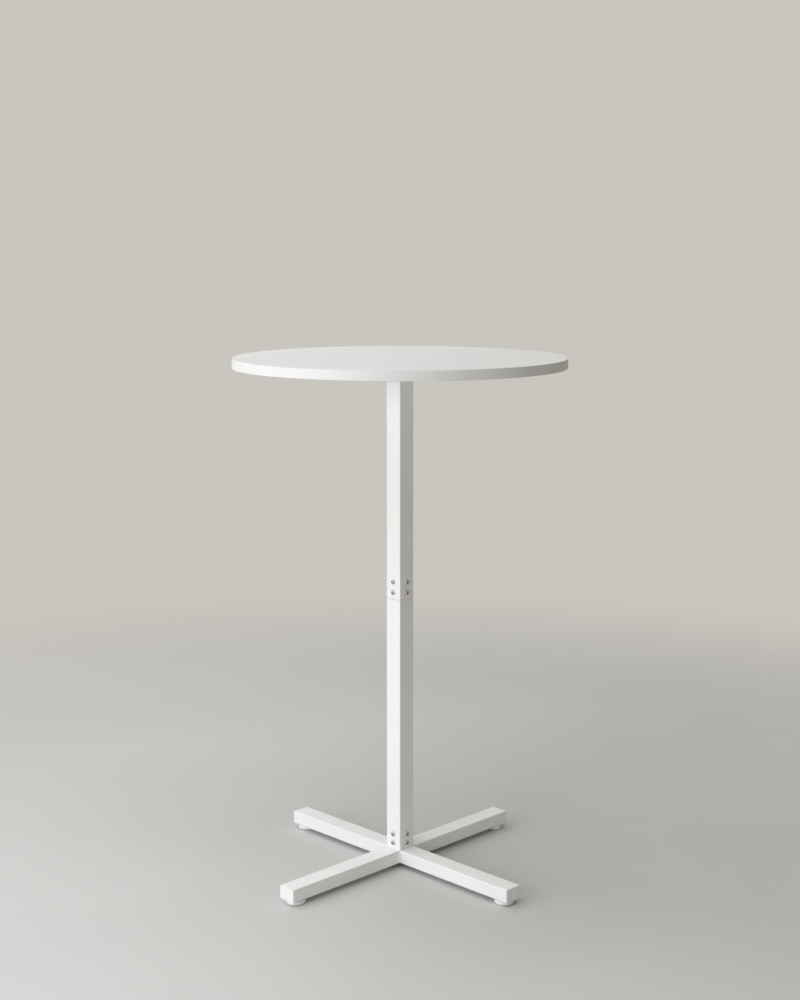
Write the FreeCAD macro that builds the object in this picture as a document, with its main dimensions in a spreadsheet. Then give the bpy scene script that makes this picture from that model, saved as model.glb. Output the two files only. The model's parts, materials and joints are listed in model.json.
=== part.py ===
import FreeCAD, Part
import math
import os

import Sketcher
from FreeCAD import Placement, Rotation, Vector

# Bar table: a round laminated top on a square steel post in two lengths, on a cross base with levelling feet.
# Millimetres, +Z up. The origin is on the floor, on the axis of the post, and the arms lie along X and Y.

SIZES = {
    # Table top
    "top_diameter": 700,
    "core_thickness": 19,
    "laminate_thickness": 0.8,
    "edge_band_thickness": 2,
    "edge_band_rounding": 0.7,
    "glue_line": 0.05,
    # Steel tubes: the arms are as wide as the post and flush with its faces
    "tube_width": 40,
    "tube_rounding": 1.5,
    "tube_bore_rounding": 0.8,
    "tube_end_chamfer": 0.4,
    "post_wall": 2,
    "lower_post_length": 535.5,
    "upper_post_length": 484,
    "seam_gap": 0.5,
    "arm_wall": 2,
    "arm_height": 27,
    "base_span": 640,
    # Spigots inside the post
    "spigot_clearance": 0.15,
    "spigot_wall": 3.5,
    "spigot_corner_relief": 0.4,
    "spigot_end_cover": 25,
    # Plate under the top
    "plate_side": 240,
    "plate_thickness": 5,
    "plate_rounding": 15,
    "plate_hole_inset": 20,
    # Button-head screws, their holes and inserts
    "screw_diameter": 6,
    "screw_tip_chamfer": 0.6,
    "screw_head_diameter": 10.5,
    "screw_head_height": 3.3,
    "screw_head_rounding": 2.8,
    "socket_width": 4,
    "socket_depth": 2.1,
    "post_screw_length": 10,
    "plate_screw_backset": 2,
    "screw_hole_clearance": 0.3,
    "thread_clearance": 0.05,
    "base_screw_rise": 12,
    "base_screw_pitch": 19,
    "mid_screw_rise": 14,
    "mid_screw_pitch": 22.5,
    "insert_wall": 2.5,
    "insert_length": 13,
    "insert_end_gap": 1,
    # Welds
    "plate_weld_leg": 4,
    "plate_weld_edge": 0.4,
    "corner_weld_leg": 3,
    "under_weld_leg": 2.5,
    "under_weld_height": 1.2,
    "plug_weld_diameter": 8,
    "plug_weld_drop": 35,
    "weld_fit": 0.02,
    # Plugs in the ends of the arms
    "plug_head": 2.5,
    "plug_head_rounding": 0.8,
    "plug_wall": 2,
    "plug_clearance": 1,
    "plug_fit": 0.1,
    "plug_fin_thickness": 1,
    "plug_nut_gap": 2.5,
    # Levelling feet
    "foot_inset": 24,
    "pad_diameter": 40,
    "pad_lower_rounding": 2.4,
    "pad_upper_rounding": 0.8,
    "pad_rim": 4.7,
    "pad_lip": 1.2,
    "pad_floor": 1,
    "pad_cover": 2.1,
    "pad_gap": 0.3,
    "sole_proud": 0.8,
    "sole_edge_rounding": 0.4,
    "sole_flange": 1.1,
    "sole_flange_width": 0.8,
    "sole_play": 0.1,
    "sole_side_play": 0.3,
    "stem_diameter": 8,
    "stem_tip_chamfer": 1,
    "stem_head_width": 13,
    "stem_head_height": 2.8,
    "stem_headroom": 2,
    "nut_wall": 1.45,
    "nut_flange_width": 2,
    "nut_flange_thickness": 0.6,
    "nut_bulge_width": 1.5,
    "nut_bulge_height": 3,
    "nut_height": 15,
    "nut_hole_clearance": 0.1,
}

# The arms, in quarter turns about Z from the first, which lies along X
ARMS = ("front_right", "rear_right", "rear_left", "front_left")
QUARTER = 90
FULL_TURN = 360
PLUG_FINS = 2
# The most of a wall or a height that a rounding on it may take
ROUNDING_SHARE = 0.9

# Heights above the floor
PAD_LIP_TOP = "(dims.sole_proud + dims.pad_lip)"
SOLE_TOP = f"({PAD_LIP_TOP} + dims.sole_play + dims.sole_flange)"
SOLE_SEAT = f"({SOLE_TOP} + dims.sole_play)"
STEM_HEAD_BOTTOM = f"({SOLE_SEAT} + dims.pad_floor)"
STEM_HEAD_TOP = f"({STEM_HEAD_BOTTOM} + dims.stem_head_height)"
PAD_TOP = f"({STEM_HEAD_TOP} + dims.pad_cover)"
ARM_BOTTOM = f"({PAD_TOP} + dims.pad_gap + dims.nut_flange_thickness)"
ARM_MIDDLE = f"({ARM_BOTTOM} + dims.arm_height / 2)"
ARM_TOP = f"({ARM_BOTTOM} + dims.arm_height)"
SEAM = f"({ARM_TOP} + dims.lower_post_length)"
UPPER_POST_BOTTOM = f"({SEAM} + dims.seam_gap)"
PLATE_BOTTOM = f"({UPPER_POST_BOTTOM} + dims.upper_post_length)"
TOP_BOTTOM = f"({PLATE_BOTTOM} + dims.plate_thickness)"
CORE_BOTTOM = f"({TOP_BOTTOM} + dims.laminate_thickness)"
CORE_TOP = f"({CORE_BOTTOM} + dims.core_thickness)"

# Half widths and reaches from the post's axis
POST_HALF = "(dims.tube_width / 2)"
POST_BORE_HALF = f"({POST_HALF} - dims.post_wall)"
SPIGOT_HALF = f"({POST_BORE_HALF} - dims.spigot_clearance)"
SPIGOT_BORE_HALF = f"({SPIGOT_HALF} - dims.spigot_wall)"
SPIGOT_ROUNDING = "(dims.tube_bore_rounding + dims.spigot_corner_relief)"
ARM_BORE_HALF = f"({POST_HALF} - dims.arm_wall)"
ARM_BORE_HALF_HEIGHT = "(dims.arm_height / 2 - dims.arm_wall)"
ARM_END = "(dims.base_span / 2)"
TUBE_END = f"({ARM_END} - dims.plug_head)"
FOOT_REACH = f"({ARM_END} - dims.foot_inset)"
CORE_RADIUS = "(dims.top_diameter / 2 - dims.edge_band_thickness - dims.glue_line)"
PLATE_HOLE_OFFSET = "(dims.plate_side / 2 - dims.plate_hole_inset)"

# Radii of a foot and its nut, about the foot's axis
PAD_RADIUS = "(dims.pad_diameter / 2)"
PAD_MOUTH_RADIUS = f"({PAD_RADIUS} - dims.pad_rim)"
STEM_RADIUS = "(dims.stem_diameter / 2)"
NUT_BORE_RADIUS = f"({STEM_RADIUS} + dims.thread_clearance)"
NUT_RADIUS = f"({NUT_BORE_RADIUS} + dims.nut_wall)"
NUT_BULGE_RADIUS = f"({NUT_RADIUS} + dims.nut_bulge_width)"

# Bores
SCREW_HOLE = "(dims.screw_diameter + 2 * dims.screw_hole_clearance)"
TAPPED_HOLE = "(dims.screw_diameter + 2 * dims.thread_clearance)"
INSERT_DIAMETER = f"({TAPPED_HOLE} + 2 * dims.insert_wall)"
INSERT_HOLE = f"({INSERT_DIAMETER} + 2 * dims.thread_clearance)"

doc = FreeCAD.newDocument("bar_table")
sheet = doc.addObject("Spreadsheet::Sheet", "dims")
for row, (alias, size) in enumerate(SIZES.items(), start=1):
    sheet.set(f"A{row}", alias)
    sheet.set(f"B{row}", str(size))
    sheet.setAlias(f"B{row}", alias)
doc.recompute()

pieces = []


def value(expression):
    """The present value of an expression on the sheet."""
    return float(sheet.evalExpression(expression))


def negative(expression):
    return f"-({expression})"


def plus(*expressions):
    return f"({' + '.join(expressions)})"


def rounding_within(rounding, room):
    """A rounding, limited by the room that its wall leaves for it."""
    return f"min({rounding}; {ROUNDING_SHARE} * ({room}))"


def new_body(name, z="0", x="0", y="0", rotation=Rotation()):
    """An empty body for one sub-part, with its place tied to the sheet."""
    body = doc.addObject("PartDesign::Body", name)
    body.Label = name
    body.Placement = Placement(Vector(), rotation)
    for axis, place in (("x", x), ("y", y), ("z", z)):
        body.setExpression(f"Placement.Base.{axis}", place)
    pieces.append(body)
    return body


def turned(quarters):
    return Rotation(Vector(0, 0, 1), QUARTER * quarters)


def origin_feature(body, role):
    return next(feature for feature in body.Origin.OriginFeatures if feature.Role == role)


def new_sketch(body, name, role, right="0", up="0", out="0"):
    """A sketch on one of the body's origin planes, shifted in the plane and along its normal."""
    sketch = body.newObject("Sketcher::SketchObject", name)
    sketch.AttachmentSupport = [(origin_feature(body, role), "")]
    sketch.MapMode = "FlatFace"
    for axis, shift in (("x", right), ("y", up), ("z", out)):
        sketch.setExpression(f"AttachmentOffset.Base.{axis}", shift)
    return sketch


def bind(sketch, kind, expression, *elements):
    """Add one dimension to a sketch and tie it to the sheet."""
    index = sketch.addConstraint(Sketcher.Constraint(kind, *elements, value(expression)))
    sketch.setExpression(f"Constraints[{index}]", expression)


def fix_point(sketch, geometry, position, x, y):
    """Dimension a point from the sketch's origin."""
    for kind, axis, expression in (("DistanceX", -2, x), ("DistanceY", -1, y)):
        if expression == "0":
            sketch.addConstraint(Sketcher.Constraint("PointOnObject", geometry, position, axis))
        else:
            bind(sketch, kind, expression, -1, 1, geometry, position)


def circle(sketch, x, y, diameter):
    spot = Vector(value(x), value(y), 0)
    ring = sketch.addGeometry(Part.Circle(spot, Vector(0, 0, 1), value(diameter) / 2))
    fix_point(sketch, ring, 3, x, y)
    bind(sketch, "Diameter", diameter, ring)


def outline(sketch, corners):
    """A closed outline. Each corner is a place in two expressions, with a third where it is rounded."""
    places = [Vector(value(corner[0]), value(corner[1]), 0) for corner in corners]
    arrive, leave, arcs = [], [], []
    for index, corner in enumerate(corners):
        here = places[index]
        back = (places[index - 1] - here).normalize()
        ahead = (places[(index + 1) % len(corners)] - here).normalize()
        radius = value(corner[2]) if len(corner) == 3 else 0
        half_angle = back.getAngle(ahead) / 2
        arrive.append(here + back * (radius / math.tan(half_angle)))
        leave.append(here + ahead * (radius / math.tan(half_angle)))
        arcs.append(None)
        if radius:
            middle = here + (back + ahead).normalize() * (radius / math.sin(half_angle))
            counterclockwise = back.cross(ahead).z < 0
            first, last = (arrive[-1], leave[-1]) if counterclockwise else (leave[-1], arrive[-1])
            ring = Part.Circle(middle, Vector(0, 0, 1), radius)
            start_angle = math.atan2(first.y - middle.y, first.x - middle.x)
            end_angle = math.atan2(last.y - middle.y, last.x - middle.x)
            arc = sketch.addGeometry(Part.ArcOfCircle(ring, start_angle, end_angle))
            arcs[-1] = (arc, 1 if counterclockwise else 2, 2 if counterclockwise else 1)
    sides = []
    for index in range(len(corners)):
        end = arrive[(index + 1) % len(corners)]
        sides.append(sketch.addGeometry(Part.LineSegment(leave[index], end)))
    for index, corner in enumerate(corners):
        before, after = sides[index - 1], sides[index]
        if arcs[index] is None:
            sketch.addConstraint(Sketcher.Constraint("Coincident", before, 2, after, 1))
            fix_point(sketch, after, 1, corner[0], corner[1])
            continue
        arc, arc_start, arc_end = arcs[index]
        sketch.addConstraint(Sketcher.Constraint("Tangent", before, 2, arc, arc_start))
        sketch.addConstraint(Sketcher.Constraint("Tangent", after, 1, arc, arc_end))
        bind(sketch, "Radius", corner[2], arc)
        apex = sketch.addGeometry(Part.Point(places[index]), True)
        sketch.addConstraint(Sketcher.Constraint("PointOnObject", apex, 1, before))
        sketch.addConstraint(Sketcher.Constraint("PointOnObject", apex, 1, after))
        fix_point(sketch, apex, 1, corner[0], corner[1])


def rectangle(sketch, half_width, half_height, rounding):
    """A rectangle with rounded corners, centred on the sketch's origin."""
    left, low = negative(half_width), negative(half_height)
    outline(sketch, [
        (left, low, rounding),
        (half_width, low, rounding),
        (half_width, half_height, rounding),
        (left, half_height, rounding),
    ])


def hexagon(sketch, width):
    """A hexagon given by its width across flats."""
    flat = f"({width} / 2)"
    point = f"({width} / sqrt(3))"
    shoulder = f"({point} / 2)"
    outline(sketch, [
        ("0", negative(point)),
        (flat, negative(shoulder)),
        (flat, shoulder),
        ("0", point),
        (negative(flat), shoulder),
        (negative(flat), negative(shoulder)),
    ])


def pad(body, sketch, length, backwards=False, taper=0):
    feature = body.newObject("PartDesign::Pad", sketch.Name + "_pad")
    feature.Profile = sketch
    feature.Reversed = backwards
    feature.TaperAngle = taper
    feature.setExpression("Length", length)
    doc.recompute()
    return feature


def pocket(body, sketch, length=None, backwards=False):
    """Cut a sketch to a depth, or right through both ways, and make sure that it met the solid."""
    before = body.Shape.Volume
    feature = body.newObject("PartDesign::Pocket", sketch.Name + "_pocket")
    feature.Profile = sketch
    feature.Reversed = backwards
    if length is None:
        feature.Type = "ThroughAll"
        feature.SideType = "Symmetric"
    else:
        feature.setExpression("Length", length)
    doc.recompute()
    if not feature.Shape.Volume < before:
        raise ValueError(f"{body.Label}: {sketch.Name} cuts nothing")
    return feature


def revolve(body, sketch):
    """Turn a profile about the sketch's upright axis."""
    feature = body.newObject("PartDesign::Revolution", sketch.Name + "_turn")
    feature.Profile = sketch
    feature.ReferenceAxis = (sketch, ["V_Axis"])
    feature.Angle = FULL_TURN
    doc.recompute()
    return feature


def ring_of_four(body, axis):
    """Repeat the body's whole shape on the four sides of the post."""
    feature = body.newObject("PartDesign::PolarPattern", "ring_of_four")
    feature.TransformMode = "Whole shape"
    feature.Axis = (origin_feature(body, axis), [""])
    feature.Angle = FULL_TURN
    feature.Occurrences = len(ARMS)
    body.Tip = feature
    doc.recompute()


def row_of_two(body, axis, pitch):
    """Repeat the body's whole shape once more at a pitch."""
    feature = body.newObject("PartDesign::LinearPattern", "row_of_two")
    feature.TransformMode = "Whole shape"
    feature.Direction = (origin_feature(body, axis), [""])
    feature.Mode = "Spacing"
    feature.setExpression("Offset", pitch)
    feature.Occurrences = 2
    body.Tip = feature
    doc.recompute()


def square_tube(body, length, half, bore_half, rounding, bore_rounding):
    section = new_sketch(body, "section", "XY_Plane")
    rectangle(section, half, half, rounding)
    rectangle(section, bore_half, bore_half, bore_rounding)
    return pad(body, section, length)


def deburr(body, tube, heights):
    """Chamfer the outer edges at the ends of a post, at these heights above its foot."""
    beyond_bore = value(f"{POST_HALF} - dims.post_wall / 2")
    ends = [value(height) for height in heights]
    names = []
    for number, edge in enumerate(tube.Shape.Edges, start=1):
        box = edge.BoundBox
        level = any(abs(z - end) < Part.Precision.confusion() for end in ends for z in (box.ZMin, box.ZMax))
        flat = box.ZLength < Part.Precision.confusion()
        if level and flat and max(box.XMax, -box.XMin, box.YMax, -box.YMin) > beyond_bore:
            names.append(f"Edge{number}")
    feature = body.newObject("PartDesign::Chamfer", "deburred_ends")
    feature.Base = (tube, names)
    feature.setExpression("Size", "dims.tube_end_chamfer")
    doc.recompute()


def cross_holes(body, name, heights, diameter):
    """Holes through all four walls of an upright tube."""
    for role in ("XZ_Plane", "YZ_Plane"):
        drill = new_sketch(body, f"{name}_{role[:2].lower()}", role)
        for height in heights:
            circle(drill, "0", height, diameter)
        pocket(body, drill)


def screw_heights(rise, pitch):
    return (rise, plus(rise, pitch))


BASE_SCREWS = screw_heights("dims.base_screw_rise", "dims.base_screw_pitch")
MID_SCREWS = screw_heights("dims.mid_screw_rise", "dims.mid_screw_pitch")


# Table top

def plate_hole_places():
    """The fixing holes of the plate: its four corners and the middles of its four sides."""
    steps = (negative(PLATE_HOLE_OFFSET), "0", PLATE_HOLE_OFFSET)
    return [(x, y) for x in steps for y in steps if (x, y) != ("0", "0")]


def make_core():
    body = new_body("top_core", z=CORE_BOTTOM)
    disc = new_sketch(body, "disc", "XY_Plane")
    circle(disc, "0", "0", f"2 * {CORE_RADIUS}")
    pad(body, disc, "dims.core_thickness")
    holes = new_sketch(body, "insert_holes", "XY_Plane")
    for x, y in plate_hole_places():
        circle(holes, x, y, INSERT_HOLE)
    depth = "dims.insert_length - dims.laminate_thickness + dims.insert_end_gap"
    pocket(body, holes, depth, backwards=True)


def make_laminates():
    upper = doc.addObject("Part::Cylinder", "top_laminate")
    upper.setExpression("Radius", CORE_RADIUS)
    upper.setExpression("Height", "dims.laminate_thickness")
    upper.setExpression("Placement.Base.z", CORE_TOP)
    pieces.append(upper)

    lower = new_body("bottom_laminate", z=TOP_BOTTOM)
    disc = new_sketch(lower, "disc", "XY_Plane")
    circle(disc, "0", "0", f"2 * {CORE_RADIUS}")
    for x, y in plate_hole_places():
        circle(disc, x, y, INSERT_HOLE)
    pad(lower, disc, "dims.laminate_thickness")


def make_edge_band():
    body = new_body("edge_band", z=TOP_BOTTOM)
    section = new_sketch(body, "section", "XZ_Plane")
    outer = "dims.top_diameter / 2"
    inner = "dims.top_diameter / 2 - dims.edge_band_thickness"
    height = "dims.core_thickness + 2 * dims.laminate_thickness"
    rounding = rounding_within("dims.edge_band_rounding", "dims.edge_band_thickness")
    outline(section, [(inner, "0"), (outer, "0", rounding), (outer, height, rounding), (inner, height)])
    revolve(body, section)


def make_inserts():
    body = new_body("top_inserts", z=TOP_BOTTOM)
    sleeves = new_sketch(body, "sleeves", "XY_Plane")
    for x, y in plate_hole_places():
        circle(sleeves, x, y, INSERT_DIAMETER)
        circle(sleeves, x, y, TAPPED_HOLE)
    pad(body, sleeves, "dims.insert_length")


def make_plate():
    body = new_body("top_plate", z=PLATE_BOTTOM)
    square = new_sketch(body, "square", "XY_Plane")
    rectangle(square, "dims.plate_side / 2", "dims.plate_side / 2", "dims.plate_rounding")
    for x, y in plate_hole_places():
        circle(square, x, y, SCREW_HOLE)
    pad(body, square, "dims.plate_thickness")


def make_plate_weld():
    """A fillet weld round the top of the post, under the plate, almost sharp at its lower edge."""
    body = new_body("top_plate_weld", z=PLATE_BOTTOM)
    toe = new_sketch(body, "toe", "XY_Plane")
    toe_half = plus(POST_HALF, "dims.plate_weld_leg")
    rectangle(toe, toe_half, toe_half, plus("dims.tube_rounding", "dims.plate_weld_leg"))
    pad(body, toe, "dims.plate_weld_leg - dims.plate_weld_edge", backwards=True, taper=-QUARTER / 2)
    passage = new_sketch(body, "post_passage", "XY_Plane")
    passage_half = plus(POST_HALF, "dims.weld_fit")
    rectangle(passage, passage_half, passage_half, "dims.tube_rounding")
    pocket(body, passage)


# Screws

def add_screw(body, name, x, y, seat, length):
    """One button-head screw along Z, with its head above the seat and its shank below."""
    radius = "dims.screw_diameter / 2"
    tip = "dims.screw_tip_chamfer"
    head_radius = "dims.screw_head_diameter / 2"
    head_height = "dims.screw_head_height"
    rounding = rounding_within("dims.screw_head_rounding", head_height)
    profile = new_sketch(body, f"{name}_profile", "XZ_Plane", right=x, up=seat, out=negative(y))
    outline(profile, [
        ("0", head_height),
        ("0", negative(length)),
        (f"{radius} - {tip}", negative(length)),
        (radius, f"{tip} - {length}"),
        (radius, "0"),
        (head_radius, "0"),
        (head_radius, head_height, rounding),
    ])
    revolve(body, profile)
    socket = new_sketch(body, f"{name}_socket", "XY_Plane", right=x, up=y, out=plus(seat, head_height))
    hexagon(socket, "dims.socket_width")
    pocket(body, socket, "dims.socket_depth")


def make_plate_screws():
    """Eight screws that come up through the plate, so the body is turned upside down."""
    body = new_body("top_screws", z=PLATE_BOTTOM, rotation=Rotation(Vector(1, 0, 0), 2 * QUARTER))
    length = "(dims.plate_thickness + dims.insert_length - dims.plate_screw_backset)"
    add_screw(body, "corner", PLATE_HOLE_OFFSET, PLATE_HOLE_OFFSET, "0", length)
    add_screw(body, "side", PLATE_HOLE_OFFSET, "0", "0", length)
    ring_of_four(body, "Z_Axis")


def make_post_screws(name, z, rise, pitch):
    """Two screws on each face of the post. The body lies so that its Y is up and its Z is outwards."""
    body = new_body(name, z=z, rotation=Rotation(Vector(1, 1, 1), FULL_TURN / 3))
    add_screw(body, "screw", "0", rise, POST_HALF, "dims.post_screw_length")
    ring_of_four(body, "Y_Axis")
    row_of_two(body, "Y_Axis", pitch)


# Post

def make_posts():
    lower = new_body("lower_post", z=ARM_TOP)
    tube = square_tube(lower, "dims.lower_post_length", POST_HALF, POST_BORE_HALF,
                       "dims.tube_rounding", "dims.tube_bore_rounding")
    deburr(lower, tube, ["0", "dims.lower_post_length"])
    cross_holes(lower, "screw_holes", BASE_SCREWS, SCREW_HOLE)
    plug_height = "dims.lower_post_length - dims.plug_weld_drop"
    cross_holes(lower, "plug_weld_holes", [plug_height], "dims.plug_weld_diameter + 2 * dims.weld_fit")

    upper = new_body("upper_post", z=UPPER_POST_BOTTOM)
    tube = square_tube(upper, "dims.upper_post_length", POST_HALF, POST_BORE_HALF,
                       "dims.tube_rounding", "dims.tube_bore_rounding")
    deburr(upper, tube, ["0"])
    cross_holes(upper, "screw_holes", MID_SCREWS, SCREW_HOLE)


def make_mid_spigot():
    """The square tube inside the seam, from below its plug welds to above the upper post's screws."""
    depth = "(dims.plug_weld_drop + dims.spigot_end_cover)"
    body = new_body("mid_spigot", z=f"{SEAM} - {depth}")
    heights = [plus(depth, "dims.seam_gap", height) for height in MID_SCREWS]
    square_tube(body, plus(heights[-1], "dims.spigot_end_cover"), SPIGOT_HALF, SPIGOT_BORE_HALF,
                SPIGOT_ROUNDING, "dims.tube_bore_rounding")
    cross_holes(body, "tapped_holes", heights, TAPPED_HOLE)


def make_plug_welds():
    """Plug welds, ground flush, that hold the mid spigot in the lower post."""
    body = new_body("mid_plug_welds", z=f"{SEAM} - dims.plug_weld_drop")
    disc = new_sketch(body, "disc", "YZ_Plane", out=SPIGOT_HALF)
    circle(disc, "0", "0", "dims.plug_weld_diameter")
    pad(body, disc, "dims.post_wall + dims.spigot_clearance")
    ring_of_four(body, "Z_Axis")


# Cross base

def make_base_spigot():
    """The square tube that the arms are welded to and the lower post slides over."""
    body = new_body("base_spigot", z=ARM_BOTTOM)
    height = plus("dims.arm_height", BASE_SCREWS[-1], "dims.spigot_end_cover")
    square_tube(body, height, SPIGOT_HALF, SPIGOT_BORE_HALF, SPIGOT_ROUNDING, "dims.tube_bore_rounding")
    heights = [plus("dims.arm_height", height) for height in BASE_SCREWS]
    cross_holes(body, "tapped_holes", heights, TAPPED_HOLE)


def make_arm(side, quarters):
    """A flat tube, cut square against the spigot and mitred against its neighbours."""
    body = new_body(f"arm_{side}", z=ARM_MIDDLE, rotation=turned(quarters))
    section = new_sketch(body, "section", "YZ_Plane")
    rectangle(section, POST_HALF, "dims.arm_height / 2", "dims.tube_rounding")
    rectangle(section, ARM_BORE_HALF, ARM_BORE_HALF_HEIGHT, "dims.tube_bore_rounding")
    pad(body, section, TUBE_END)

    mitre = new_sketch(body, "mitre", "XY_Plane")
    beyond = plus(POST_HALF, "dims.post_wall")
    outline(mitre, [
        (negative(beyond), negative(beyond)),
        (beyond, negative(beyond)),
        (POST_BORE_HALF, negative(POST_BORE_HALF)),
        (POST_BORE_HALF, POST_BORE_HALF),
        (beyond, beyond),
        (negative(beyond), beyond),
    ])
    pocket(body, mitre)

    nut_hole = new_sketch(body, "nut_hole", "XY_Plane", out="-dims.arm_height / 2")
    circle(nut_hole, FOOT_REACH, "0", f"2 * ({NUT_RADIUS} + dims.nut_hole_clearance)")
    pocket(body, nut_hole, "dims.arm_wall", backwards=True)


def make_corner_welds():
    """Small fillet welds in the four upright corners between the arms."""
    body = new_body("base_corner_welds", z=f"{ARM_BOTTOM} + dims.tube_rounding")
    bead = new_sketch(body, "bead", "XY_Plane")
    toe = plus(POST_HALF, "dims.corner_weld_leg")
    outline(bead, [(POST_HALF, POST_HALF), (toe, POST_HALF), (POST_HALF, toe)])
    pad(body, bead, "dims.arm_height - 2 * dims.tube_rounding")
    ring_of_four(body, "Z_Axis")


def make_under_weld():
    """A weld under the cross, between the spigot's lower end and the arms."""
    body = new_body("base_under_weld", z=ARM_BOTTOM)
    bead = new_sketch(body, "bead", "XY_Plane")
    outer = plus(POST_BORE_HALF, "dims.under_weld_leg")
    inner = f"({SPIGOT_HALF} - dims.under_weld_leg)"
    rectangle(bead, outer, outer, "dims.under_weld_leg")
    rectangle(bead, inner, inner, "dims.tube_bore_rounding")
    pad(body, bead, "dims.under_weld_height", backwards=True)


def make_end_plug(side, quarters):
    """A moulded plug: a head flush with the tube, and a hollow stub with thin fins that grip the bore."""
    body = new_body(f"end_plug_{side}", z=ARM_MIDDLE, rotation=turned(quarters))
    head = new_sketch(body, "head", "YZ_Plane", out=TUBE_END)
    rectangle(head, POST_HALF, "dims.arm_height / 2", "dims.tube_rounding")
    head_pad = pad(body, head, "dims.plug_head")

    end = value(ARM_END)
    rim = body.newObject("PartDesign::Fillet", "rim")
    rim.Base = (head_pad, [
        f"Edge{index}" for index, edge in enumerate(head_pad.Shape.Edges, start=1)
        if abs(edge.BoundBox.XMin - end) < Part.Precision.confusion()
    ])
    rim.setExpression("Radius", rounding_within("dims.plug_head_rounding", "dims.plug_head"))
    doc.recompute()

    core = (f"({ARM_BORE_HALF} - dims.plug_clearance)", f"({ARM_BORE_HALF_HEIGHT} - dims.plug_clearance)")
    hollow = tuple(f"({half} - dims.plug_wall)" for half in core)
    fin = (f"({ARM_BORE_HALF} - dims.plug_fit)", f"({ARM_BORE_HALF_HEIGHT} - dims.plug_fit)")
    depth = f"(dims.foot_inset - dims.plug_head - {NUT_BULGE_RADIUS} - dims.plug_nut_gap)"
    stub = new_sketch(body, "stub", "YZ_Plane", out=TUBE_END)
    rectangle(stub, *core, "dims.tube_bore_rounding")
    rectangle(stub, *hollow, "dims.tube_bore_rounding")
    pad(body, stub, depth, backwards=True)
    for number in range(1, PLUG_FINS + 1):
        place = f"{TUBE_END} - {number} * {depth} / {PLUG_FINS + 1}"
        blade = new_sketch(body, f"fin_{number}", "YZ_Plane", out=place)
        rectangle(blade, *fin, "dims.tube_bore_rounding")
        rectangle(blade, *hollow, "dims.tube_bore_rounding")
        pad(body, blade, "dims.plug_fin_thickness", backwards=True)


# Levelling feet

def make_nuts():
    """Threaded rivet nuts in the undersides of the arms, with the bulge that grips the wall."""
    body = new_body("foot_nuts", z=ARM_BOTTOM)
    flange = plus(NUT_RADIUS, "dims.nut_flange_width")
    bulge_top = "dims.arm_wall + dims.nut_bulge_height"
    profile = new_sketch(body, "profile", "XZ_Plane", right=FOOT_REACH)
    outline(profile, [
        (NUT_BORE_RADIUS, "-dims.nut_flange_thickness"),
        (flange, "-dims.nut_flange_thickness"),
        (flange, "0"),
        (NUT_RADIUS, "0"),
        (NUT_RADIUS, "dims.arm_wall"),
        (NUT_BULGE_RADIUS, "dims.arm_wall"),
        (NUT_BULGE_RADIUS, bulge_top),
        (NUT_RADIUS, bulge_top),
        (NUT_RADIUS, "dims.nut_height"),
        (NUT_BORE_RADIUS, "dims.nut_height"),
    ])
    revolve(body, profile)
    ring_of_four(body, "Z_Axis")


def foot_body(name, quarters):
    """A body whose Z is the axis of one foot."""
    across = (1, 0, -1, 0)[quarters]
    along = (0, 1, 0, -1)[quarters]
    return new_body(name, x=f"{across} * {FOOT_REACH}", y=f"{along} * {FOOT_REACH}")


def make_sole(side, quarters):
    """The disc on the floor, with a flange that the pad's lip holds."""
    body = foot_body(f"foot_sole_{side}", quarters)
    radius = f"({PAD_MOUTH_RADIUS} - dims.sole_side_play)"
    flange = plus(radius, "dims.sole_flange_width")
    flange_bottom = plus(PAD_LIP_TOP, "dims.sole_play")
    profile = new_sketch(body, "profile", "XZ_Plane")
    outline(profile, [
        ("0", "0"),
        (radius, "0", "dims.sole_edge_rounding"),
        (radius, flange_bottom),
        (flange, flange_bottom),
        (flange, SOLE_TOP),
        ("0", SOLE_TOP),
    ])
    revolve(body, profile)


def make_pad(side, quarters):
    """The moulded disc that is turned by hand, with the stem's head inside it."""
    body = foot_body(f"foot_pad_{side}", quarters)
    chamber = plus(PAD_MOUTH_RADIUS, "dims.sole_flange_width")
    lower_rounding = rounding_within("dims.pad_lower_rounding", "dims.pad_rim")
    profile = new_sketch(body, "profile", "XZ_Plane")
    outline(profile, [
        ("0", SOLE_SEAT),
        (chamber, SOLE_SEAT),
        (chamber, PAD_LIP_TOP),
        (PAD_MOUTH_RADIUS, PAD_LIP_TOP),
        (PAD_MOUTH_RADIUS, "dims.sole_proud"),
        (PAD_RADIUS, "dims.sole_proud", lower_rounding),
        (PAD_RADIUS, PAD_TOP, "dims.pad_upper_rounding"),
        ("0", PAD_TOP),
    ])
    revolve(body, profile)
    head_space = new_sketch(body, "head_space", "XY_Plane", out=STEM_HEAD_BOTTOM)
    hexagon(head_space, "dims.stem_head_width")
    pocket(body, head_space, "dims.stem_head_height", backwards=True)
    stem_hole = new_sketch(body, "stem_hole", "XY_Plane", out=STEM_HEAD_TOP)
    circle(stem_hole, "0", "0", "dims.stem_diameter")
    pocket(body, stem_hole, "dims.pad_cover", backwards=True)


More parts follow.
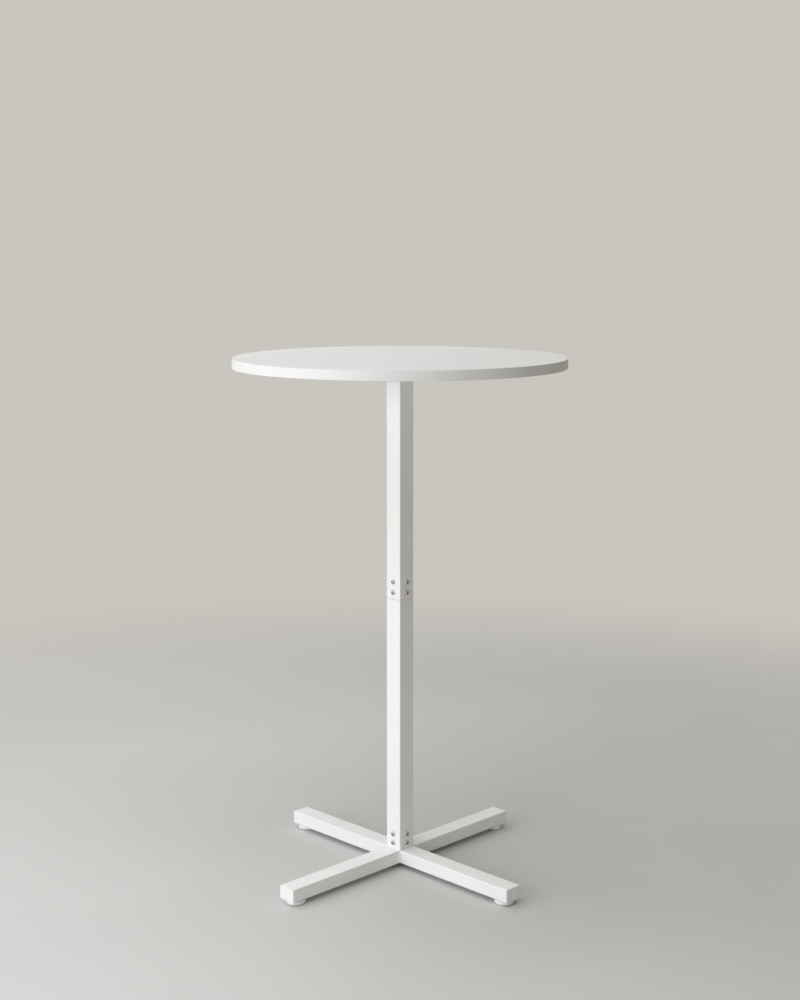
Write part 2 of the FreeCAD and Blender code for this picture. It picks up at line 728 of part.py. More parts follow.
def make_stem(side, quarters):
    """The threaded stem, with the hexagon head that the pad is moulded round."""
    body = foot_body(f"foot_stem_{side}", quarters)
    chamfer = "dims.stem_tip_chamfer"
    tip = f"({ARM_TOP} - dims.arm_wall - dims.stem_headroom)"
    profile = new_sketch(body, "profile", "XZ_Plane")
    outline(profile, [
        ("0", STEM_HEAD_BOTTOM),
        (STEM_RADIUS, STEM_HEAD_BOTTOM),
        (STEM_RADIUS, f"{tip} - {chamfer}"),
        (f"{STEM_RADIUS} - {chamfer}", tip),
        ("0", tip),
    ])
    revolve(body, profile)
    head = new_sketch(body, "head", "XY_Plane", out=STEM_HEAD_BOTTOM)
    hexagon(head, "dims.stem_head_width")
    pad(body, head, "dims.stem_head_height")


def make_all():
    make_core()
    make_laminates()
    make_edge_band()
    make_inserts()
    make_plate()
    make_plate_weld()
    make_plate_screws()
    make_posts()
    make_mid_spigot()
    make_plug_welds()
    make_post_screws("mid_screws", UPPER_POST_BOTTOM, "dims.mid_screw_rise", "dims.mid_screw_pitch")
    make_post_screws("base_screws", ARM_TOP, "dims.base_screw_rise", "dims.base_screw_pitch")
    make_base_spigot()
    make_corner_welds()
    make_under_weld()
    make_nuts()
    for quarters, side in enumerate(ARMS):
        make_arm(side, quarters)
        make_end_plug(side, quarters)
        make_sole(side, quarters)
        make_pad(side, quarters)
        make_stem(side, quarters)


def check_all():
    """Stop if any object of the document failed, or any sub-part has no valid shape."""
    doc.recompute()
    for item in doc.Objects:
        if {"Invalid", "Error"} & set(item.State):
            raise ValueError(f"{item.Label} failed: {item.State}")
    for piece in pieces:
        if piece.Shape.isNull() or not piece.Shape.isValid():
            raise ValueError(f"{piece.Label} has no valid shape")


def write_all():
    os.makedirs("parts", exist_ok=True)
    for piece in pieces:
        piece.Shape.exportStep(f"parts/{piece.Label}.step")
        solids = piece.Shape.Solids
        print(f"{piece.Label}: {len(solids)} solids, {piece.Shape.Volume:.1f} mm3")


make_all()
check_all()
write_all()
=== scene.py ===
import json
import math

import bmesh
import bpy
from mathutils import Matrix, Vector


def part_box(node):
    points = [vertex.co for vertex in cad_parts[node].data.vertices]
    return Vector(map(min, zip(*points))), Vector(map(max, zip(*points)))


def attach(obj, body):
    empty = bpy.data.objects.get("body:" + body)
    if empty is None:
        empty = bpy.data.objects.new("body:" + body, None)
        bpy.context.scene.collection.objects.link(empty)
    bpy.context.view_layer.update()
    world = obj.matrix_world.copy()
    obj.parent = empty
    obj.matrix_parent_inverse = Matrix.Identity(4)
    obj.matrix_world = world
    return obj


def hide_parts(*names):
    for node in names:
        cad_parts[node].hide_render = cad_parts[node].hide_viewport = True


# Bar table: the finish of every surface, and the threads, screws and weld beads
# that the solids leave plain.
# Metres, +Z up. The post stands on the Z axis, and the arms lie along X and Y.

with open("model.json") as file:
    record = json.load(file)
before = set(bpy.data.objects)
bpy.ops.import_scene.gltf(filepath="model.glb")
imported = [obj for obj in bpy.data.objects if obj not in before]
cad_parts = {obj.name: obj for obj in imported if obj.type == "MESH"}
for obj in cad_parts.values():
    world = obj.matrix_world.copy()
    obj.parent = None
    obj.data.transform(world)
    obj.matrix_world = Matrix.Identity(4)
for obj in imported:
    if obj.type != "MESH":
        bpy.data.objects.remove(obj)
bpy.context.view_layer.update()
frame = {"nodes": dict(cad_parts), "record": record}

MM = 0.001
TURN = 2 * math.pi
QUARTER = TURN / 4
SIXTH = TURN / 6
UP = Vector((0, 0, 1))
SIDES = ("front_right", "rear_right", "rear_left", "front_left")

# Button-head screws
SCREW_RADIUS = 3 * MM
SCREW_PITCH = 1 * MM
HEAD_RADIUS = 5.25 * MM
HEAD_HEIGHT = 3.3 * MM
HEAD_ROUNDING = 2.8 * MM
HEAD_ROUNDING_STEPS = 10
HEAD_EDGE_CHAMFER = 0.15 * MM
SOCKET_WIDTH = 4 * MM
SOCKET_DEPTH = 2.1 * MM
SOCKET_CHAMFER = 0.12 * MM
# The cone that the drill leaves below the socket, and its flat end
DRILL_CONE_DEPTH = 0.5 * MM
DRILL_END_RADIUS = 1 * MM
# The walls of the socket and the cone have a dark finish of their own: oil, and painted shade in the
# deep recess
SOCKET_ROWS = 2
POST_SCREW_LENGTH = 10 * MM
SHANK_PLAIN = 1 * MM
SCREW_TIP_CHAMFER = 0.6 * MM
# Each screw stops at its own angle when it is tightened
SCREW_ANGLE_STEP = math.radians(137.5)

# Stems of the levelling feet
STEM_RADIUS = 4 * MM
STEM_PITCH = 1.25 * MM
STEM_HEAD_WIDTH = 13 * MM
STEM_HEAD_HEIGHT = 2.8 * MM
STEM_HEAD_CHAMFER = 0.5 * MM
STEM_PLAIN = 5.2 * MM
STEM_TIP_CHAMFER = 1 * MM

# Metric threads: shares of the pitch, and the angle between a flank and the plane across the axis
THREAD_DEPTH = 0.6134
THREAD_CREST = 1 / 8
THREAD_FLANK = math.radians(30)
RINGS_PER_PITCH = 10
SEGMENTS = 48

# Weld beads: the ripples' dips are shares of a bead's size, and their bow is a share of their pitch
RIPPLE_PITCH = 1.7 * MM
RIPPLE_BOW = 0.5
FILLET_RIPPLE = 0.09
CAP_RIPPLE = 0.18
STATIONS_PER_RIPPLE = 6
BEAD_POINTS = 9
FILLET_FULLNESS = 1.3
# An upright bead has this share of its size at its ends, and gains this much over its length
BEAD_END = 0.4
BEAD_GAIN = 4
TUBE_ROUNDING = 1.5 * MM
WELD_FIT = 0.02 * MM

# Edges sharper than this stay sharp
SMOOTH_ANGLE = math.radians(38)


# Finishes

# Most of a noise texture lies in this range
TEXTURE_MIDDLE = (0.35, 0.65)

# Steels: the darkest and the lightest colour, and the least and the most roughness
STEELS = {
    "bare_steel": {"dark": (0.44, 0.44, 0.45), "light": (0.58, 0.58, 0.59), "low": 0.36, "high": 0.50},
    "screw_steel": {"dark": (0.44, 0.44, 0.45), "light": (0.54, 0.54, 0.55), "low": 0.36, "high": 0.48},
    # The sockets are nearly black: partly oil, partly painted shade in the deep hexagon recess
    "socket_oil_and_painted_shade": {"dark": (0.05, 0.05, 0.05), "light": (0.10, 0.10, 0.10), "low": 0.50, "high": 0.65},
    "zinc_steel": {"dark": (0.50, 0.50, 0.51), "light": (0.64, 0.64, 0.65), "low": 0.28, "high": 0.42},
}


class Finish:
    """One procedural material on a principled shader. Feature sizes are in metres on the object."""

    def __init__(self, name, metallic=0.0, shine=0.5):
        self.material = bpy.data.materials.new(name)
        self.material.use_nodes = True
        self.tree = self.material.node_tree
        self.shader = self.tree.nodes["Principled BSDF"]
        self.shader.inputs["Metallic"].default_value = metallic
        self.shader.inputs["Specular IOR Level"].default_value = shine
        self.place = self.add("ShaderNodeTexCoord").outputs["Object"]
        self.normal = None

    def add(self, kind):
        """Add a node of a kind."""
        return self.tree.nodes.new(kind)

    def link(self, output, target):
        """Link a node's output to a node's input."""
        self.tree.links.new(output, target)

    def noise(self, size, detail=2.0, stretch=(1, 1, 1)):
        """Noise with features of a size, drawn out along the axes that have a larger stretch."""
        mapping = self.add("ShaderNodeMapping")
        mapping.inputs["Scale"].default_value = [1 / share for share in stretch]
        self.link(self.place, mapping.inputs["Vector"])
        texture = self.add("ShaderNodeTexNoise")
        texture.inputs["Scale"].default_value = 1 / size
        texture.inputs["Detail"].default_value = detail
        self.link(mapping.outputs["Vector"], texture.inputs["Vector"])
        return texture.outputs["Fac"]

    def colour(self, value, dark, light):
        """Carry the middle range of a texture to the colours between two."""
        ramp = self.add("ShaderNodeValToRGB")
        for element, place, shade in zip(ramp.color_ramp.elements, TEXTURE_MIDDLE, (dark, light)):
            element.position = place
            element.color = (*shade, 1)
        self.link(value, ramp.inputs["Fac"])
        self.link(ramp.outputs["Color"], self.shader.inputs["Base Color"])

    def roughness(self, value, low, high):
        """Carry the middle range of a texture to a range of roughness."""
        spread = self.add("ShaderNodeMapRange")
        spread.inputs["From Min"].default_value, spread.inputs["From Max"].default_value = TEXTURE_MIDDLE
        spread.inputs["To Min"].default_value = low
        spread.inputs["To Max"].default_value = high
        self.link(value, spread.inputs["Value"])
        self.link(spread.outputs["Result"], self.shader.inputs["Roughness"])

    def relief(self, value, depth):
        """Add a texture to the surface's bump, at its real depth."""
        bump = self.add("ShaderNodeBump")
        bump.inputs["Strength"].default_value = 1
        bump.inputs["Distance"].default_value = depth
        self.link(value, bump.inputs["Height"])
        if self.normal is not None:
            self.link(self.normal, bump.inputs["Normal"])
        self.normal = bump.outputs["Normal"]
        self.link(self.normal, self.shader.inputs["Normal"])


def laminate():
    """Matt white high-pressure laminate: a fine pearled press texture and faint wiping marks."""
    finish = Finish("white_laminate", shine=0.25)
    tone = finish.noise(size=250 * MM)
    wiped = finish.noise(size=60 * MM, detail=3, stretch=(4, 1, 1))
    pearl = finish.noise(size=0.5 * MM, detail=1)
    finish.colour(tone, dark=(0.755, 0.755, 0.75), light=(0.78, 0.78, 0.775))
    finish.roughness(wiped, low=0.50, high=0.60)
    finish.relief(pearl, depth=0.012 * MM)
    return finish.material


def edge_band():
    """Matt white extruded edging, with fine lines along its length."""
    finish = Finish("white_edge", shine=0.35)
    tone = finish.noise(size=180 * MM)
    gloss = finish.noise(size=4 * MM, detail=3)
    lines = finish.noise(size=0.8 * MM, stretch=(400, 400, 1))
    finish.colour(tone, dark=(0.78, 0.78, 0.77), light=(0.805, 0.805, 0.795))
    finish.roughness(gloss, low=0.46, high=0.56)
    finish.relief(lines, depth=0.01 * MM)
    return finish.material


def powder_coat():
    """White powder coat: the orange peel of the flowed film, and a finer grain in its gloss."""
    finish = Finish("white_powder_coat")
    tone = finish.noise(size=120 * MM, detail=3)
    peel = finish.noise(size=1.6 * MM, detail=1)
    grain = finish.noise(size=0.3 * MM)
    finish.colour(tone, dark=(0.865, 0.865, 0.86), light=(0.895, 0.895, 0.89))
    finish.roughness(grain, low=0.34, high=0.44)
    finish.relief(peel, depth=0.018 * MM)
    finish.relief(grain, depth=0.003 * MM)
    return finish.material


def moulded_plastic():
    """White moulded plastic with the fine spark texture of its mould."""
    finish = Finish("white_plastic")
    tone = finish.noise(size=20 * MM)
    spark = finish.noise(size=0.35 * MM, detail=3)
    finish.colour(tone, dark=(0.82, 0.82, 0.815), light=(0.86, 0.86, 0.855))
    finish.roughness(spark, low=0.42, high=0.56)
    finish.relief(spark, depth=0.012 * MM)
    return finish.material


def steel(name, dark, light, low, high):
    """Bare or plated steel: a cloudy surface over drawn and turned marks."""
    finish = Finish(name, metallic=1)
    cloudy = finish.noise(size=2.5 * MM, detail=4)
    drawn = finish.noise(size=0.25 * MM, stretch=(1, 1, 12))
    finish.colour(cloudy, dark, light)
    finish.roughness(cloudy, low, high)
    finish.relief(drawn, depth=0.004 * MM)
    return finish.material


def brass():
    """Machined brass with turned grooves."""
    finish = Finish("brass", metallic=1)
    tone = finish.noise(size=3 * MM)
    grooves = finish.noise(size=0.3 * MM, detail=1, stretch=(30, 30, 1))
    finish.colour(tone, dark=(0.62, 0.44, 0.17), light=(0.74, 0.57, 0.26))
    finish.roughness(grooves, low=0.22, high=0.38)
    finish.relief(grooves, depth=0.006 * MM)
    return finish.material


def board():
    """Pressed wood board: short pale and dark fibres."""
    finish = Finish("board")
    fibres = finish.noise(size=1.2 * MM, detail=5, stretch=(4, 4, 1))
    finish.colour(fibres, dark=(0.40, 0.29, 0.18), light=(0.62, 0.48, 0.33))
    finish.roughness(fibres, low=0.75, high=0.9)
    finish.relief(fibres, depth=0.08 * MM)
    return finish.material


def sole_rubber():
    """Grey rubber with a matt moulded grain."""
    finish = Finish("grey_sole")
    tone = finish.noise(size=6 * MM, detail=3)
    grain = finish.noise(size=0.4 * MM, detail=3)
    finish.colour(tone, dark=(0.24, 0.24, 0.24), light=(0.31, 0.31, 0.31))
    finish.roughness(grain, low=0.72, high=0.88)
    finish.relief(grain, depth=0.02 * MM)
    return finish.material


def make_finishes():
    """A material for each slot of the record, and one for the sockets of the screws, dark with oil and
    with painted shade.
    """
    finishes = {
        "white_laminate": laminate(),
        "white_edge": edge_band(),
        "board": board(),
        "brass": brass(),
        "white_powder_coat": powder_coat(),
        "white_plastic": moulded_plastic(),
        "grey_sole": sole_rubber(),
    }
    for name, look in STEELS.items():
        finishes[name] = steel(name, **look)
    return finishes


def dress_solids(finishes):
    """Give every carried-over solid the material of its slot."""
    for part in frame["record"]["subparts"]:
        solid = frame["nodes"][part["node"]]
        for slot in solid.material_slots:
            slot.material = finishes[part["material_slot"]]


# Meshes from rings

class Skin:
    """A mesh of closed skins, each drawn over a row of rings that have the same number of points."""

    def __init__(self):
        self.points = []
        self.faces = []
        self.inner_faces = set()

    def cover(self, rings, looped=False, inner_rows=0):
        """Join each ring to the next. The row's ends are closed, or joined if the row is looped.

        The last end and the inner rows next to it take the second material.
        """
        first = len(self.points)
        count = len(rings[0])
        for ring in rings:
            self.points.extend(ring)
        rows = len(rings) if looped else len(rings) - 1
        for row in range(rows):
            low = first + row * count
            high = first + (row + 1) % len(rings) * count
            if row >= rows - inner_rows:
                self.inner_faces.update(range(len(self.faces), len(self.faces) + count))
            for here in range(count):
                ahead = (here + 1) % count
                self.faces.append((low + here, low + ahead, high + ahead, high + here))
        if not looped:
            last = first + (len(rings) - 1) * count
            self.faces.append(tuple(reversed(range(first, first + count))))
            if inner_rows:
                self.inner_faces.add(len(self.faces))
            self.faces.append(tuple(range(last, last + count)))

    def piece(self, name, slot, materials, body, node):
        """Make the piece, set it on its body, and hide the solid that it replaces."""
        mesh = bpy.data.meshes.new(name)
        mesh.from_pydata(self.points, [], self.faces)
        shape = bmesh.new()
        shape.from_mesh(mesh)
        bmesh.ops.recalc_face_normals(shape, faces=shape.faces)
        shape.to_mesh(mesh)
        shape.free()
        mesh.polygons.foreach_set("use_smooth", [True] * len(mesh.polygons))
        mesh.set_sharp_from_angle(angle=SMOOTH_ANGLE)
        for material in materials:
            mesh.materials.append(material)
        for index in self.inner_faces:
            mesh.polygons[index].material_index = 1
        piece = bpy.data.objects.new(name, mesh)
        bpy.context.scene.collection.objects.link(piece)
        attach(piece, body)
        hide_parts(node)


def steps(start, end, step):
    """Even steps from a start to an end, both included, none larger than a step."""
    count = max(1, math.ceil(abs(end - start) / step))
    return [start + (end - start) * index / count for index in range(count + 1)]


def angles():
    """The angles of a ring's points."""
    return [TURN * index / SEGMENTS for index in range(SEGMENTS)]


def polar(radius, angle, height):
    """A point by its radius and its angle about the Z axis."""
    return Vector((radius * math.cos(angle), radius * math.sin(angle), height))


def round_ring(radius, height):
    """A circle."""
    return [polar(radius, angle, height) for angle in angles()]


def corner_radius(width):
    """The radius of a hexagon's corners, by its width across flats."""
    return width / math.sqrt(3)


def hexagon_ring(width, height, most=math.inf):
    """A hexagon by its width across flats, with its corners cut to a largest radius."""
    ring = []
    for angle in angles():
        from_flat = (angle + SIXTH / 2) % SIXTH - SIXTH / 2
        radius = min(width / 2 / math.cos(from_flat), most)
        ring.append(polar(radius, angle, height))
    return ring


def thread_depth(pitch, height, angle):
    """How far a right-hand metric thread lies below its crest, at a height and an angle."""
    from_crest = abs((height / pitch - angle / TURN) % 1 - 0.5) * pitch
    depth = (from_crest - THREAD_CREST * pitch / 2) / math.tan(THREAD_FLANK)
    return min(max(depth, 0), THREAD_DEPTH * pitch)


def threaded_ring(radius, pitch, height, limit):
    """A ring of a thread, within a limit such as the chamfer at its tip."""
    ring = []
    for angle in angles():
        reach = min(radius - thread_depth(pitch, height, angle), limit)
        ring.append(polar(reach, angle, height))
    return ring


def threaded_rings(radius, pitch, start, tip, chamfer):
    """Rings of a thread from a start to a chamfered tip, which may lie above or below."""
    rings = []
    for height in steps(start, tip, pitch / RINGS_PER_PITCH):
        limit = radius - chamfer + abs(tip - height)
        rings.append(threaded_ring(radius, pitch, height, limit))
    return rings


# Screws

def screw_rings(length):
    """A button-head screw from its tip to the end of its drill hole, with its seat at zero."""
    rings = threaded_rings(SCREW_RADIUS, SCREW_PITCH, -SHANK_PLAIN, -length, SCREW_TIP_CHAMFER)
    rings.reverse()
    rings.append(round_ring(SCREW_RADIUS, -SHANK_PLAIN / 2))
    rings.append(round_ring(SCREW_RADIUS, 0))
    rings.append(round_ring(HEAD_RADIUS - HEAD_EDGE_CHAMFER, 0))
    rings.append(round_ring(HEAD_RADIUS, HEAD_EDGE_CHAMFER))
    for turn in steps(0, QUARTER, QUARTER / HEAD_ROUNDING_STEPS):
        radius = HEAD_RADIUS - HEAD_ROUNDING * (1 - math.cos(turn))
        rings.append(round_ring(radius, HEAD_HEIGHT - HEAD_ROUNDING * (1 - math.sin(turn))))
    socket_floor = HEAD_HEIGHT - SOCKET_DEPTH
    rings.append(round_ring(corner_radius(SOCKET_WIDTH) + SOCKET_CHAMFER, HEAD_HEIGHT))
    rings.append(hexagon_ring(SOCKET_WIDTH, HEAD_HEIGHT - SOCKET_CHAMFER))
    rings.append(hexagon_ring(SOCKET_WIDTH, socket_floor))
    rings.append(round_ring(DRILL_END_RADIUS, socket_floor - DRILL_CONE_DEPTH))
    return rings


def make_screws(node, places, length, finishes):
    """The screws of one group, at places that each carry Z to the way that the head points."""
    skin = Skin()
    rings = screw_rings(length)
    for index, place in enumerate(places):
        turned = place @ Matrix.Rotation(index * SCREW_ANGLE_STEP, 4, "Z")
        skin.cover([[turned @ point for point in ring] for ring in rings], inner_rows=SOCKET_ROWS)
    # The socket walls take the dark finish, which paints the recess's shade as well as its oil
    materials = [finishes["screw_steel"], finishes["socket_oil_and_painted_shade"]]
    skin.piece(f"{node}_detailed", "screw_steel", materials, "frame", node)


def post_screw_places(node):
    """Two screws, one above the other, on each face of the post."""
    low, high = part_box(node)
    seat = high.x - HEAD_HEIGHT
    outwards = Matrix.Rotation(QUARTER, 4, "Y")
    places = []
    for quarter in range(len(SIDES)):
        facing = Matrix.Rotation(quarter * QUARTER, 4, "Z")
        for height in (low.z + HEAD_RADIUS, high.z - HEAD_RADIUS):
            places.append(facing @ Matrix.Translation((seat, 0, height)) @ outwards)
    return places


def plate_screw_places(node):
    """Eight screws at the corners and the middles of the sides of the plate, with their heads down."""
    low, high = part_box(node)
    offset = high.x - HEAD_RADIUS
    downwards = Matrix.Rotation(2 * QUARTER, 4, "X")
    places = []
    for quarter in range(len(SIDES)):
        facing = Matrix.Rotation(quarter * QUARTER, 4, "Z")
        for across in (0, offset):
            places.append(facing @ Matrix.Translation((offset, across, low.z + HEAD_HEIGHT)) @ downwards)
    return places


def make_all_screws(finishes):
    """The screws of the two joints of the post, and those of the plate."""
    for node in ("mid_screws", "base_screws"):
        make_screws(node, post_screw_places(node), POST_SCREW_LENGTH, finishes)
    low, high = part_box("top_screws")
    make_screws("top_screws", plate_screw_places("top_screws"), high.z - low.z - HEAD_HEIGHT, finishes)


# Stems of the feet

def make_stem(side, finishes):
    """A threaded stem with the hexagon head that the pad is moulded round."""
    node = f"foot_stem_{side}"
    low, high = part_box(node)
    middle = (low + high) / 2
    most = corner_radius(STEM_HEAD_WIDTH) - STEM_HEAD_CHAMFER / 2
    head_top = low.z + STEM_HEAD_HEIGHT
    thread_start = low.z + STEM_PLAIN
    rings = [
        round_ring(STEM_HEAD_WIDTH / 2 - STEM_HEAD_CHAMFER, low.z),
        hexagon_ring(STEM_HEAD_WIDTH, low.z + STEM_HEAD_CHAMFER, most),
        hexagon_ring(STEM_HEAD_WIDTH, head_top, most),
        round_ring(STEM_RADIUS, head_top),
        round_ring(STEM_RADIUS, thread_start - STEM_PITCH / RINGS_PER_PITCH),
    ]
    rings += threaded_rings(STEM_RADIUS, STEM_PITCH, thread_start, high.z, STEM_TIP_CHAMFER)
    axis = Matrix.Translation((middle.x, middle.y, 0))
    skin = Skin()
    skin.cover([[axis @ point for point in ring] for ring in rings])
    skin.piece(f"{node}_threaded", "zinc_steel", [finishes["zinc_steel"]], f"foot_{side}", node)


# Weld beads

def ripple(distance, lag):
    """The scalloped height of a weld bead along its run, from 0 to 1."""
    share = (distance / RIPPLE_PITCH - lag) % 1
    return math.sqrt(1 - share * share)


def fillet_section(leg, distance):
    """Points of a fillet bead in its corner, as distances from the two faces that it joins."""
    section = [(WELD_FIT, WELD_FIT)]
    for turn in steps(0, QUARTER, QUARTER / (BEAD_POINTS - 1)):
        across = max(math.cos(turn), 0)
        along = max(math.sin(turn), 0)
        full = (across ** FILLET_FULLNESS + along ** FILLET_FULLNESS) ** (-1 / FILLET_FULLNESS)
        swell = 1 + FILLET_RIPPLE * (ripple(distance, RIPPLE_BOW * math.sin(2 * turn)) - 1)
        reach = leg * full * swell
        section.append((max(reach * across, WELD_FIT), max(reach * along, WELD_FIT)))
    return section


def cap_section(half_width, height, distance):
    """Points of a low bead on a flat face, as distances from its middle line and from the face."""
    section = []
    for turn in steps(0, 2 * QUARTER, QUARTER / (BEAD_POINTS - 1)):
        swell = 1 + CAP_RIPPLE * (ripple(distance, RIPPLE_BOW * math.sin(turn)) - 1)
        section.append((half_width * math.cos(turn), WELD_FIT + height * swell * math.sin(turn)))
    return section


def round_the_square(half, rounding):
    """Stations round a square with rounded corners: a place, the way outwards, and the distance run."""
    side = 2 * (half - rounding)
    stretch = side + rounding * QUARTER
    count = STATIONS_PER_RIPPLE * round(len(SIDES) * stretch / RIPPLE_PITCH)
    stations = []
    for index in range(count):
        distance = index * len(SIDES) * stretch / count
        quarter, along = divmod(distance, stretch)
        turn = max(along - side, 0) / rounding
        outwards = Vector((math.cos(turn), math.sin(turn), 0))
        corner = Vector((half - rounding, min(along, side) - side / 2, 0))
        facing = Matrix.Rotation(quarter * QUARTER, 3, "Z")
        stations.append((facing @ (corner + rounding * outwards), facing @ outwards, distance))
    return stations


def coated_bead(skin, name, node, finishes):
    """A weld bead of the frame, coated as the tubes are."""
    skin.piece(name, "white_powder_coat", [finishes["white_powder_coat"]], "frame", node)


def make_plate_weld(finishes):
    """The fillet weld round the top of the post, under the plate."""
    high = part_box("top_plate_weld")[1]
    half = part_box("upper_post")[1].x
    leg = high.x - half
    rings = []
    for place, outwards, distance in round_the_square(half, TUBE_ROUNDING):
        base = place + high.z * UP
        rings.append([base + out * outwards - down * UP for out, down in fillet_section(leg, distance)])
    skin = Skin()
    skin.cover(rings, looped=True)
    coated_bead(skin, "top_plate_weld_bead", "top_plate_weld", finishes)


def make_corner_welds(finishes):
    """The fillet welds in the four upright corners between the arms."""
    low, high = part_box("base_corner_welds")
    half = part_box("lower_post")[1].x
    leg = high.x - half
    skin = Skin()
    for quarter in range(len(SIDES)):
        facing = Matrix.Rotation(quarter * QUARTER, 3, "Z")
        rings = []
        for height in steps(low.z, high.z, RIPPLE_PITCH / STATIONS_PER_RIPPLE):
            run = (height - low.z) / (high.z - low.z)
            taper = min(1, BEAD_END + BEAD_GAIN * min(run, 1 - run))
            section = fillet_section(leg * taper, height - low.z)
            rings.append([facing @ Vector((half + out, half + along, height)) for out, along in section])
        skin.cover(rings)
    coated_bead(skin, "base_corner_weld_beads", "base_corner_welds", finishes)


def make_under_weld(finishes):
    """The weld under the cross, between the spigot's lower end and the arms."""
    low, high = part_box("base_under_weld")
    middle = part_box("base_spigot")[1].x
    half_width = high.x - middle
    rings = []
    for place, outwards, distance in round_the_square(middle, TUBE_ROUNDING):
        section = cap_section(half_width, high.z - low.z, distance)
        rings.append([place + out * outwards + (high.z - down) * UP for out, down in section])
    skin = Skin()
    skin.cover(rings, looped=True)
    coated_bead(skin, "base_under_weld_bead", "base_under_weld", finishes)


# Floor, light and camera

FLOOR_RADIUS = 9
FLOOR_SEGMENTS = 128
# Where the floor begins to fade into the backdrop, and where it ends
FLOOR_FADE = (1.2, 2.8)
FLOOR_CLOUDS = 0.9
FLOOR_DARK = (0.575, 0.565, 0.555)
FLOOR_LIGHT = (0.605, 0.595, 0.585)
FLOOR_ROUGHNESS = 0.8
FLOOR_SHINE = 0.2
BACKDROP = (0.585, 0.56, 0.52)
FILL_COLOUR = (1.0, 0.92, 0.75)
FILL_STRENGTH = 0.22

# Soft panels that face the table: degrees to the right of the camera and upwards, metres and watts
PANELS = {
    "front_left": {"turn": -55, "rise": 8, "distance": 2.6, "width": 2.4, "height": 1.4, "power": 32},
    "back_left": {"turn": -105, "rise": 30, "distance": 2.6, "width": 2.1, "height": 2.1, "power": 10},
    "back": {"turn": -160, "rise": 35, "distance": 2.6, "width": 2.1, "height": 2.1, "power": 8},
    "front": {"turn": -20, "rise": 8, "distance": 2.6, "width": 2.4, "height": 1.4, "power": 16},
    "above": {"turn": -70, "rise": 76, "distance": 7, "width": 8, "height": 8, "power": 355},
}
PANEL_COLOUR = (0.93, 0.966, 1.0)
PANEL_TARGET = Vector((0, 0, 0.65))

# The camera stands between the two front arms. Metres and radians, with millimetres for the lens
# and its sensor, and a shift that is a share of the picture's longer side.
CAMERA_AZIMUTH = math.radians(45)
CAMERA_DISTANCE = 3.4117
CAMERA_HEIGHT = 1.3337
CAMERA_PITCH = 0.0692
CAMERA_LENS = 58.93
CAMERA_SENSOR = 36
CAMERA_SHIFT = -0.15


def floor_finish():
    """A plain pale floor, clear where it is far from the table."""
    finish = Finish("floor_finish", shine=FLOOR_SHINE)
    clouds = finish.noise(size=FLOOR_CLOUDS, detail=3)
    finish.colour(clouds, dark=FLOOR_DARK, light=FLOOR_LIGHT)
    finish.shader.inputs["Roughness"].default_value = FLOOR_ROUGHNESS
    length = finish.add("ShaderNodeVectorMath")
    length.operation = "LENGTH"
    finish.link(finish.place, length.inputs[0])
    fade = finish.add("ShaderNodeMapRange")
    fade.interpolation_type = "SMOOTHSTEP"
    fade.inputs["From Min"].default_value, fade.inputs["From Max"].default_value = FLOOR_FADE
    finish.link(length.outputs["Value"], fade.inputs["Value"])
    clear = finish.add("ShaderNodeBsdfTransparent")
    mix = finish.add("ShaderNodeMixShader")
    finish.link(fade.outputs["Result"], mix.inputs["Fac"])
    finish.link(finish.shader.outputs["BSDF"], mix.inputs[1])
    finish.link(clear.outputs["BSDF"], mix.inputs[2])
    finish.link(mix.outputs["Shader"], finish.tree.nodes["Material Output"].inputs["Surface"])
    return finish.material


def make_floor():
    """The round floor that the table stands on."""
    shape = bmesh.new()
    bmesh.ops.create_circle(shape, cap_ends=True, radius=FLOOR_RADIUS, segments=FLOOR_SEGMENTS)
    mesh = bpy.data.meshes.new("floor")
    shape.to_mesh(mesh)
    shape.free()
    mesh.materials.append(floor_finish())
    floor = bpy.data.objects.new("floor", mesh)
    bpy.context.scene.collection.objects.link(floor)


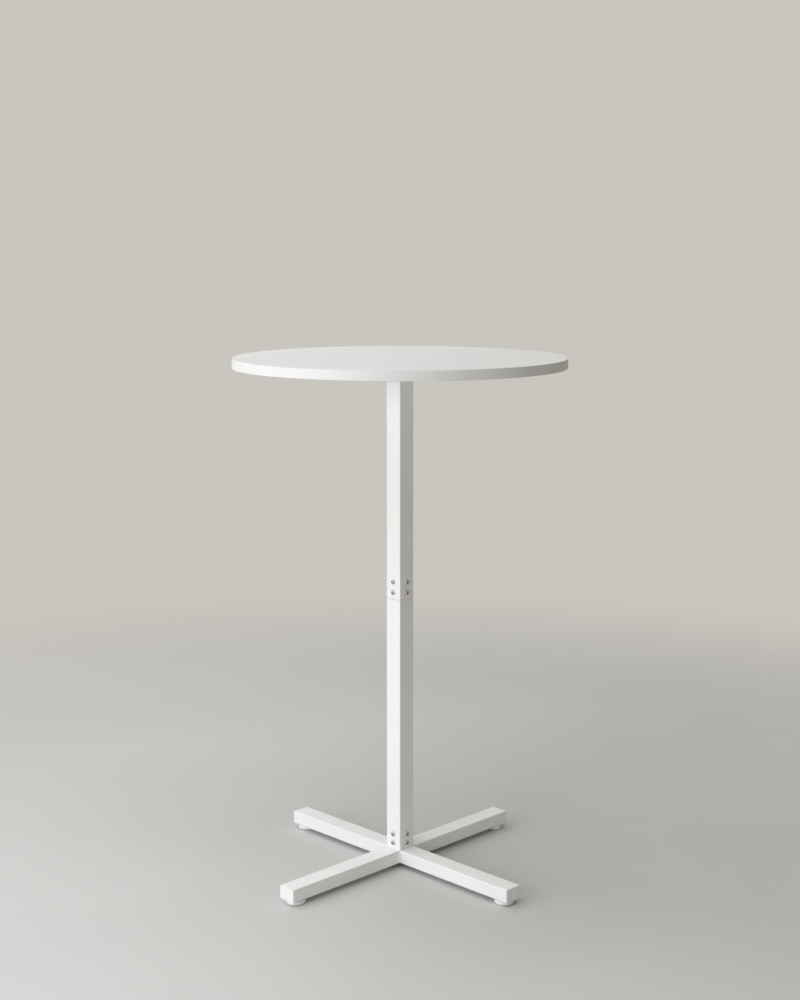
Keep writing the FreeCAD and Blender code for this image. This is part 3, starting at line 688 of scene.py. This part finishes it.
def make_world():
    """An even dim fill. The camera and reflections see the pale backdrop instead."""
    world = bpy.data.worlds.new("studio")
    bpy.context.scene.world = world
    world.use_nodes = True
    tree = world.node_tree
    fill = tree.nodes["Background"]
    fill.inputs["Color"].default_value = (*FILL_COLOUR, 1)
    fill.inputs["Strength"].default_value = FILL_STRENGTH
    backdrop = tree.nodes.new("ShaderNodeBackground")
    backdrop.inputs["Color"].default_value = (*BACKDROP, 1)
    rays = tree.nodes.new("ShaderNodeLightPath")
    seen = rays.outputs["Is Camera Ray"]
    for kind in ("Is Glossy Ray", "Is Transmission Ray"):
        either = tree.nodes.new("ShaderNodeMath")
        either.operation = "MAXIMUM"
        tree.links.new(seen, either.inputs[0])
        tree.links.new(rays.outputs[kind], either.inputs[1])
        seen = either.outputs["Value"]
    mix = tree.nodes.new("ShaderNodeMixShader")
    tree.links.new(seen, mix.inputs["Fac"])
    tree.links.new(fill.outputs["Background"], mix.inputs[1])
    tree.links.new(backdrop.outputs["Background"], mix.inputs[2])
    tree.links.new(mix.outputs["Shader"], tree.nodes["World Output"].inputs["Surface"])


def direction(azimuth, elevation):
    """The way from the table to a place around it. Azimuth 0 is at -Y, and turns towards +X."""
    level = math.cos(elevation)
    return Vector((level * math.sin(azimuth), -level * math.cos(azimuth), math.sin(elevation)))


def make_panel(name, turn, rise, distance, width, height, power):
    """A soft lamp that faces the table."""
    lamp = bpy.data.lights.new(f"panel_{name}", "AREA")
    lamp.shape = "RECTANGLE"
    lamp.size = width
    lamp.size_y = height
    lamp.energy = power
    lamp.color = PANEL_COLOUR
    panel = bpy.data.objects.new(f"panel_{name}", lamp)
    away = direction(CAMERA_AZIMUTH + math.radians(turn), math.radians(rise))
    panel.location = PANEL_TARGET + distance * away
    panel.rotation_euler = (-away).to_track_quat("-Z", "Y").to_euler()
    bpy.context.scene.collection.objects.link(panel)


def make_camera():
    """The camera, tilted a little and shifted, so that the post stays upright."""
    lens = bpy.data.cameras.new("camera")
    lens.lens = CAMERA_LENS
    lens.sensor_width = CAMERA_SENSOR
    lens.shift_y = CAMERA_SHIFT
    camera = bpy.data.objects.new("camera", lens)
    camera.location = CAMERA_DISTANCE * direction(CAMERA_AZIMUTH, 0) + CAMERA_HEIGHT * UP
    back = direction(CAMERA_AZIMUTH, CAMERA_PITCH)
    camera.rotation_euler = (-back).to_track_quat("-Z", "Y").to_euler()
    bpy.context.scene.collection.objects.link(camera)
    bpy.context.scene.camera = camera


finishes = make_finishes()
dress_solids(finishes)
make_all_screws(finishes)
for side in SIDES:
    make_stem(side, finishes)
make_plate_weld(finishes)
make_corner_welds(finishes)
make_under_weld(finishes)
make_floor()
make_world()
for name, panel in PANELS.items():
    make_panel(name, **panel)
make_camera()
bpy.context.scene.view_settings.view_transform = "Standard"
